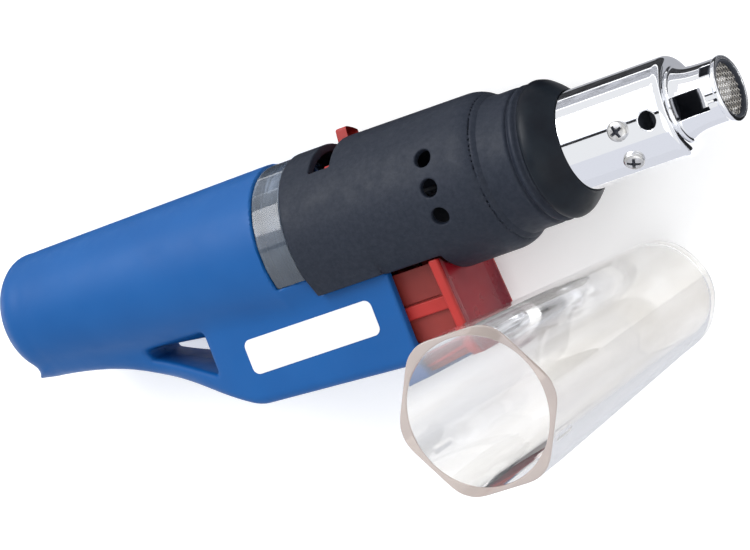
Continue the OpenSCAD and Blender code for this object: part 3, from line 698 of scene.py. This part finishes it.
def make_barrel():
    """The housing, the grooved collar on its front and the round lip on that."""
    carve("barrel_skin", barrel, (-74, -20.3, -20.3), (-16.5, 20.3, 20.3), 0.42, "torch", "black_plastic",
          "barrel_housing")
    grooves = [(-17.4, COLLAR_R), (-13.4, COLLAR_R), (-12.3, COLLAR_R - 0.15), (-11.7, COLLAR_R - 0.75),
               (-11.0, COLLAR_R - 0.15), (-10.3, COLLAR_R - 0.05), (-9.6, COLLAR_R - 0.7),
               (-9.15, COLLAR_R - 0.9)]
    inner = [(-9.15, 13.2), (-14, 13.2), (-14, 13.3), (-26, 13.3), (-26, 16.8), (-21.4, 16.8),
             (-21.2, SEAT_R), (-18.3, SEAT_R)]
    points, faces = revolve(spline(grooves, 5) + inner)
    outward(piece("nose_collar_skin", points, faces, "torch", "black_plastic", "nose_collar", sharp=50))
    lip = [(-9.1, 14.9), (-8.95, 15.6), (-8.4, 16.1), (-7.4, 16.25), (-6.0, 15.85), (-4.7, 15.0), (-3.6, 14.1),
           (-2.5, 13.1), (-1.6, 12.35), (-1.15, 12.0), (-1.2, 11.82), (-1.6, 11.75)]
    points, faces = revolve(spline(lip, 5) + [(-3.2, 11.75), (-3.2, 13.2), (-9.1, 13.2)])
    outward(piece("nose_lip_skin", points, faces, "torch", "rubber", "nose_lip", sharp=50))


# ------------------------------------------------------------------ burner

BURNER_R, BURNER_WALL, BURNER_FRONT = 11.7, 0.8, 25.5
TIP_R, TIP_WALL = 7.4, 0.7
HOLE_X, HOLE_R = 20.8, 2.1
SCREW_X, SCREW_HEAD, CROSS_HALF, CROSS_ARM = 13.4, 2.45, 0.32, 1.5
SCREWS = ((0, 20), (-39, 62), (150, 10))  # where each sits, and how far its cross is turned
GAUZE_R, WIRE_PITCH, WIRE_R, WEAVE_TURN, WIRE_SIDES = 6.2, 0.95, 0.12, 38, 6


def burner(x, y, z):
    """The chromed sleeve, closed at its front round the nozzle, with one hole in its side."""
    r = np.hypot(y, z)
    outer = rounded(r - BURNER_R, slab(x, -14, BURNER_FRONT), 2.0)
    inner = rounded(r - BURNER_R + BURNER_WALL, slab(x, -30, BURNER_FRONT - BURNER_WALL), 1.2)
    body = np.maximum(outer, -inner)
    body = smooth_max(body, TIP_R + 0.5 - r, 0.3)
    return smooth_max(body, -side_hole(x, y, z, HOLE_X, 0, HOLE_R), 0.3)


def tip(x, y, z):
    """The nozzle, flared at its foot, with two windows that run out in slits and two notches at its mouth."""
    r = np.hypot(y, z)
    flare = 1.8 * np.exp(-np.maximum(x - BURNER_FRONT, 0) / 1.7)
    rim = 0.32 * np.exp(-((x - TIP_FRONT + 0.7) / 0.55) ** 4)
    radius = TIP_R + np.where(x < BURNER_FRONT, 0.42, flare) + rim  # it is held inside the sleeve's front
    outer = rounded((r - radius) * 0.85, slab(x, BURNER_FRONT - 5.5, TIP_FRONT), 0.3)
    foot = np.maximum(slab(x, BURNER_FRONT - 0.1, BURNER_FRONT + 0.55), r - 9.0)
    body = np.maximum(smooth_min(outer, foot, 0.4), -(r - TIP_R + TIP_WALL))
    for a in (0, 180):
        across, out = polar(y, z, a)
        window = rounded(slab(x, BURNER_FRONT + 0.7, BURNER_FRONT + 8.3), np.abs(across) - 2.7, 0.2)
        slit = np.maximum(slab(x, BURNER_FRONT + 7.5, BURNER_FRONT + 11.0), np.abs(across + 0.95) - 0.25)
        body = smooth_max(body, -np.maximum(np.minimum(window, slit), -out), 0.15)
    for a in (52, 232):
        across, out = polar(y, z, a)
        notch = rounded(slab(x, TIP_FRONT - 4, TIP_FRONT - 1.3), np.abs(across) - 1.4, 0.25)
        body = smooth_max(body, -np.maximum(notch, -out), 0.15)
    return body


def woven_wires():
    """Two crossing layers of woven wires inside a circle."""
    points, faces = [], []
    c, q = math.cos(math.radians(WEAVE_TURN)), math.sin(math.radians(WEAVE_TURN))
    n = int(GAUZE_R / WIRE_PITCH)
    for layer in (0, 1):
        for i in range(-n, n + 1):
            off = i * WIRE_PITCH
            half = math.sqrt(GAUZE_R * GAUZE_R - off * off)
            steps = max(4, int(half / 0.16))
            first = len(points)
            for s in range(steps + 1):
                t = -half + 2 * half * s / steps
                wave = WIRE_R * math.cos(math.pi * t / WIRE_PITCH) * (1 if (i + layer) % 2 else -1)
                for k in range(WIRE_SIDES):
                    b = 2 * math.pi * k / WIRE_SIDES
                    side, lift = WIRE_R * math.cos(b), WIRE_R * math.sin(b)
                    u, v = (t, off + side) if layer == 0 else (off + side, t)
                    points.append((TIP_FRONT - 1.2 + wave + lift, u * c - v * q, u * q + v * c))
            ends = [tuple(reversed(range(WIRE_SIDES))), tuple(steps * WIRE_SIDES + k for k in range(WIRE_SIDES))]
            faces += [tuple(first + v for v in face) for face in strips(steps + 1, WIRE_SIDES) + ends]
    return points, faces


def make_screw(name, a, turn):
    """A cross-head pan screw on the burner tube at angle a, with the faces inside its cross painted dark as shade.
    """
    c, s = math.cos(math.radians(turn)), math.sin(math.radians(turn))

    def shape(x, y, z):
        across, out = polar(y, z, a)
        along = x - SCREW_X
        r = np.hypot(along, across)
        h = out - BURNER_R - 0.02
        head = smooth_max(rounded(r - SCREW_HEAD, slab(h, -0.4, 1.5), 0.75), np.hypot(r, h + 3.1) - 4.6, 0.5)
        shank = np.maximum(r - 1.25, slab(h, -4.5, 0.3))
        p, q = np.abs(along * c + across * s), np.abs(along * s - across * c)
        arms = np.minimum(np.maximum(q - CROSS_HALF, p - CROSS_ARM), np.maximum(p - CROSS_HALF, q - CROSS_ARM))
        middle = np.maximum(p + q - 0.8, 0.05 - h)
        cross = np.maximum(np.minimum(arms, middle), 0.35 - h + 0.38 * r)
        return np.maximum(np.minimum(head, shank), -cross)

    def in_cross(face, centre):
        across, out = polar(centre.y, centre.z, a)
        r = math.hypot(centre.x - SCREW_X, across)
        return r < CROSS_ARM - 0.05 and out > BURNER_R and math.hypot(r, out - BURNER_R + 3.08) < 4.48

    reach, t = 4.2, math.radians(a)
    y, z = 10.8 * math.sin(t), 10.8 * math.cos(t)
    low, high = (SCREW_X - 3.2, y - reach, z - reach), (SCREW_X + 3.2, y + reach, z + reach)
    # the faces inside the cross get painted shade
    paint(carve(name, shape, low, high, 0.11, "torch", "screw_steel", "burner_screws"), "painted_shade", in_cross)


def make_burner():
    """Sleeve, nozzle, gauze and screws, with what shows only through a hole or the mouth painted near-black as
    shade.
    """
    tube = carve("burner_tube_skin", burner, (-15, -12.6, -12.6), (26.3, 12.6, 12.6), 0.33, "torch", "chrome",
                 "burner_tube")
    nozzle = carve("burner_tip_skin", tip, (19, -9.9, -9.9), (38, 9.9, 9.9), 0.19, "torch", "chrome", "burner_tip")
    for obj, reach, end in ((tube, BURNER_R - 0.2, BURNER_FRONT - 2.2), (nozzle, TIP_R - 0.08, TIP_FRONT - 1.3)):

        def shaded(face, c):
            through_hole = math.hypot(c.x - HOLE_X, c.y) < HOLE_R + 0.02 and c.z > 0
            return math.hypot(c.y, c.z) < reach and c.x < end or through_hole

        # the inside of the sleeve and nozzle, and the side hole's wall, get painted shade
        paint(obj, "painted_shade", shaded)
    points, faces = woven_wires()
    outward(piece("mesh_screen_wires", points, faces, "torch", "mesh_wire", "mesh_screen", sharp=60))
    for i, (a, turn) in enumerate(SCREWS):
        make_screw(f"burner_screw_{i + 1}", a, turn)


# ------------------------------------------------------------------ trigger, flow lever and tank

TRIGGER_LOW, TRIGGER_HALF = -29.0, 9.2
TRIGGER_REAR = span("trigger")[0][0]
PLATE_LOW, PLATE_HALF, PLATE_THICK, PLATE_LEAN, PLATE_DISH = -36.5, 13.1, 2.6, 0.0604, 1.7
ARM_AT, ARM_HALF, STOP_AT, STOP_HALF = 111, 7.5, 56, 4.5  # the flow lever's arm and stop, in degrees
LEVER_BORE = 4.55
BAND_R, NECK_R, TANK_BORE = 18.4, 13.5, 12.95


def trigger(x, y, z):
    """The slide with its leaning, dished front plate, a rib on each side and a lug that works the gas valve."""
    front = PLATE_FRONT - PLATE_LEAN * (y + 23.25)
    dish = PLATE_DISH * np.clip(1 - (np.abs(z) / (PLATE_HALF - 1.4)) ** 2, 0, 1) ** 0.7
    edge = rounded(np.abs(z) - PLATE_HALF, PLATE_LOW - y, 6.0)
    plate = rounded(edge, slab(x - front, -PLATE_THICK, 0), 0.8)
    plate = smooth_max(plate, x - front + dish, 0.5)
    web = np.maximum(np.maximum(edge + 0.6, slab(x - front, -4.2, -1.0)), np.abs(z) - TRIGGER_HALF)
    core = brick(x, y, z, (TRIGGER_REAR, TRIGGER_LOW, -TRIGGER_HALF), (-42, -8, TRIGGER_HALF), 0.6)
    upper = brick(x, y, z, (TRIGGER_REAR + 0.5, -22.0, -TRIGGER_HALF - 0.25), (-42, -8, TRIGGER_HALF + 0.25), 0.2)
    foot = brick(x, y, z, (-60, -31.8, -TRIGGER_HALF), (-42, -28, TRIGGER_HALF), 0.6)
    rib = brick(x, y, z, (TRIGGER_REAR + 0.5, -25.5, -TRIGGER_HALF - 0.9), (-41.8, -22.3, TRIGGER_HALF + 0.9), 0.3)
    body = smooth_min(np.minimum(np.minimum(core, foot), np.minimum(upper, rib)), np.minimum(plate, web), 0.7)
    body = smooth_max(body, np.maximum(y + TRIGGER_ROOM + 0.4, 17.0 - np.hypot(y, z)), 0.3)
    pocket = np.maximum(np.hypot(y + 24.4, z) - 3.9, x + 63)
    lug = brick(x, y, z, (-50, -21, -2.2), (-47.4, -13, 2.2), 0.4)
    return np.minimum(np.maximum(body, -pocket), lug)


def flow_ring(x, y, z):
    """The flow lever: a hub on the gas valve, an arm with its tab through the slot, and a small stop."""
    r = np.hypot(y, z)
    a = angle_of(y, z)
    hub = np.maximum(rounded(r - 6.9, slab(x, -67, -60.4), 0.3), LEVER_BORE - r)
    wedge = np.radians(np.abs(a - ARM_AT) - ARM_HALF) * r
    arm = np.maximum(rounded(r - 15.8, slab(x, -65, -60.4), 0.3), wedge)
    tab = rounded(rounded(r - 21.8, wedge, 0.6), slab(x, -62.8, -57.8), 0.6)
    stop = np.maximum(r - 16.7, np.radians(np.abs(a - STOP_AT) - STOP_HALF) * r)
    stop = np.maximum(rounded(stop, slab(x, -61.2, -57.6), 0.3), 6.5 - r)
    limb = np.minimum(np.minimum(arm, np.maximum(tab, 7.5 - r)), stop)
    return smooth_min(hub, np.maximum(limb, 5.2 - r), 0.6)


def tank(x, y, z):
    """The fuel tank: the band that shows before the barrel, and the hollow belly inside the cover."""
    r = np.hypot(y, z)
    front = slab(x, BAND_REAR + 0.05, BARREL_REAR - 0.05)
    ring = np.maximum(rounded(r - BAND_R, front, 0.35), -BAND_DROP - y)
    neck = np.maximum(r - NECK_R, front)
    belly = np.maximum(cone(x, y, z, -4.5), slab(x, CONE_REAR + 1.5, BAND_REAR + 1))
    room = np.maximum(cone(x, y, z, -6.0), slab(x, CONE_REAR + 3.0, BAND_REAR + 1))
    bore = np.maximum(r - TANK_BORE, BAND_REAR + 0.9 - x)
    port = np.maximum(np.hypot(y - CONE_RISE, z) - 3.2, x - CONE_REAR - 6)
    body = np.minimum(smooth_min(ring, neck, 0.5), belly)
    return np.maximum(np.maximum(body, -room), -np.minimum(bore, port))


def make_controls():
    """Trigger, flow lever and tank.  The trigger's sides and the face of its plate get darker reds as painted
    shade.
    """
    def on_side(face, c):
        return TRIGGER_HALF - 0.4 < abs(c.z) < TRIGGER_HALF + 0.5 and c.x < -42.4 and c.y > -31.6

    def on_plate(face, c):
        return face.normal.x > 0.6 and abs(c.z) < PLATE_HALF - 0.9 and c.x > -43

    slide = carve("trigger_skin", trigger, (-68, -37.5, -14), (-37.5, -12, 14), 0.36, "trigger", "red_plastic",
                  "trigger")
    # the trigger's sides get painted shade
    paint(slide, "red_side_painted_shade", on_side)
    # the plate's dished face gets painted shade
    paint(slide, "red_face_painted_shade", on_plate)
    carve("flow_ring_skin", flow_ring, (-67.8, -7.6, -10.6), (-59.6, 22.6, 17.5), 0.3, "flow_control",
          "red_plastic", "flow_ring")
    carve("fuel_tank_skin", tank, (-152.5, -19.2, -19.2), (-72, 19.2, 19.2), 0.6, "torch", "smoke_plastic",
          "fuel_tank")


def make_label():
    """A flat film with round corners and its top edge eased."""
    (x0, y0, z0), (x1, y1, z1) = span("label")
    x0, x1 = x0 - 0.6, x1 + 0.5
    r = 1.8
    edge = []
    for cx, cy, a in ((x1 - r, y1 - r, 0), (x0 + r, y1 - r, 90), (x0 + r, y0 + r, 180), (x1 - r, y0 + r, 270)):
        edge += arc(cx, cy, r, a, a + 90, 8)
    n = len(edge)
    mid_x, mid_y = (x0 + x1) / 2, (y0 + y1) / 2
    rings = []
    for inset, z in ((0, z0), (0, z1 - 0.06), (0.06, z1)):
        rings += [(x + (mid_x - x) * inset / 20, y + (mid_y - y) * inset / 5, z) for x, y in edge]
    faces = strips(3, n) + [tuple(range(2 * n, 3 * n)), tuple(reversed(range(n)))]
    piece("label_film", rings, faces, "torch", "label_film", "label", sharp=40)


# ------------------------------------------------------------------ cap

CAP_Y, CAP_POINTS = -41.0, 240
MOUTH_R, END_R, CAP_WALL, CAP_FLOOR = 16.3, 12.3, 1.1, 2.4
CAP_CORNER = 1.4  # how far the corners between the six flats stand out at the mouth
CAP_FOOT, CAP_INSIDE = 2.2, 2  # rounds of the closed end, outside and inside
LUG_HALF, LUG_OUT = 2.2, 1.25
RIBS, RIB_HALF, RIB_IN = (-40, 80, 200), 0.35, 0.22


def quarter(start, end, steps, r):
    """Steps 1 - cos and 1 - sin of a quarter round of radius r."""
    for t in map(math.radians, np.linspace(start, end, steps)):
        yield r * (1 - math.cos(t)), r * (1 - math.sin(t))


def make_cap():
    """The cap: a tapered tube with six soft flats, a lug on its side and grip ribs inside its mouth."""
    (x0, _, z0), (x1, _, z1) = span("cap")
    middle, height = (x0 + x1) / 2, z1 - z0
    phi = np.arange(CAP_POINTS) * 2 * math.pi / CAP_POINTS
    rings = []

    def taper(h):
        return END_R + (MOUTH_R - END_R) * h / height

    def away(a):
        """Angle of each point from the direction a."""
        return np.abs((phi - math.radians(a) + math.pi) % (2 * math.pi) - math.pi)

    def outer(h, cut=0.0):
        off = phi % (math.pi / 3) - math.pi / 6
        flat = (taper(h) + CAP_WALL) / np.cos(off)
        fade = min(1.0, max(0.0, (h / height - 0.12) / 0.75))
        r = smooth_min(flat, taper(h) + CAP_WALL + CAP_CORNER * fade, 0.9) - cut
        lug = rounded(away(-90) * r - LUG_HALF, abs(h - 0.66 * height) - 0.15 * height, 2.1)
        return r + LUG_OUT * np.clip(0.5 - lug / 0.9, 0, 1) * (cut == 0)

    def inner(h):
        r = np.full(CAP_POINTS, taper(h))
        for a in RIBS:
            rib = np.maximum(away(a) * r - RIB_HALF, abs(h - (height - 8)) - 4)
            r = r - RIB_IN * np.clip(0.5 - rib / 0.3, 0, 1)
        return r

    def add(r, h):
        r = np.broadcast_to(r, CAP_POINTS)
        rings.append(np.stack([middle + r * np.cos(phi), CAP_Y + r * np.sin(phi), np.full(CAP_POINTS, z0 + h)], 1))

    for r in (0.02, 3, 6, 9):
        add(r, 0)
    for p, q in quarter(0, 90, 9, CAP_FOOT):
        add(outer(p, q), p)
    for h in np.arange(CAP_FOOT + 0.5, height - 0.5, 0.5):
        add(outer(h), h)
    for p, q in quarter(0, 90, 5, 0.35):
        add(outer(height, p), height - q)
    for p, q in quarter(90, 0, 5, 0.3):
        add(inner(height) + p, height - q)
    for h in (*np.arange(height - 0.6, height - 16, -0.4), *np.arange(height - 18, CAP_FLOOR + 2.2, -3.0)):
        add(inner(h), h)
    for p, q in quarter(0, 90, 8, CAP_INSIDE):
        add(taper(CAP_FLOOR) - p, CAP_FLOOR + q)
    for r in (8, 5, 2, 0.02):
        add(r, CAP_FLOOR)
    last = (len(rings) - 1) * CAP_POINTS
    ends = [tuple(reversed(range(CAP_POINTS))), tuple(last + j for j in range(CAP_POINTS))]
    faces = strips(len(rings), CAP_POINTS) + ends
    cap = piece("cap_skin", np.concatenate(rings), faces, "cap", "clear_plastic", "cap", sharp=55)
    cap.visible_shadow = False
    cap.visible_glossy = False
    # the rim's top faces get that painted shade
    rim = (z0 + height - 0.36) * MM + AXIS.z
    paint(cap, "clear_rim_painted_shade", lambda face, c: min(cap.data.vertices[v].co.z for v in face.vertices) > rim)


# ------------------------------------------------------------------ everything

PAINTED_SHADE_PARTS = ("flame_holder", "tip_ring", "mixing_tube", "gas_pipe")  # CAD pieces seen only deep in the dark, painted over with the near-black of painted shade

camera()
studio()
make_materials()
make_handle()
make_barrel()
make_burner()
make_controls()
make_label()
make_cap()

slots = {part["node"]: part["material_slot"] for part in frame["record"]["subparts"]}
for name, node in frame["nodes"].items():
    node.data.materials.clear()
    node.data.materials.append(MATERIALS["painted_shade" if name in PAINTED_SHADE_PARTS else slots[name]])
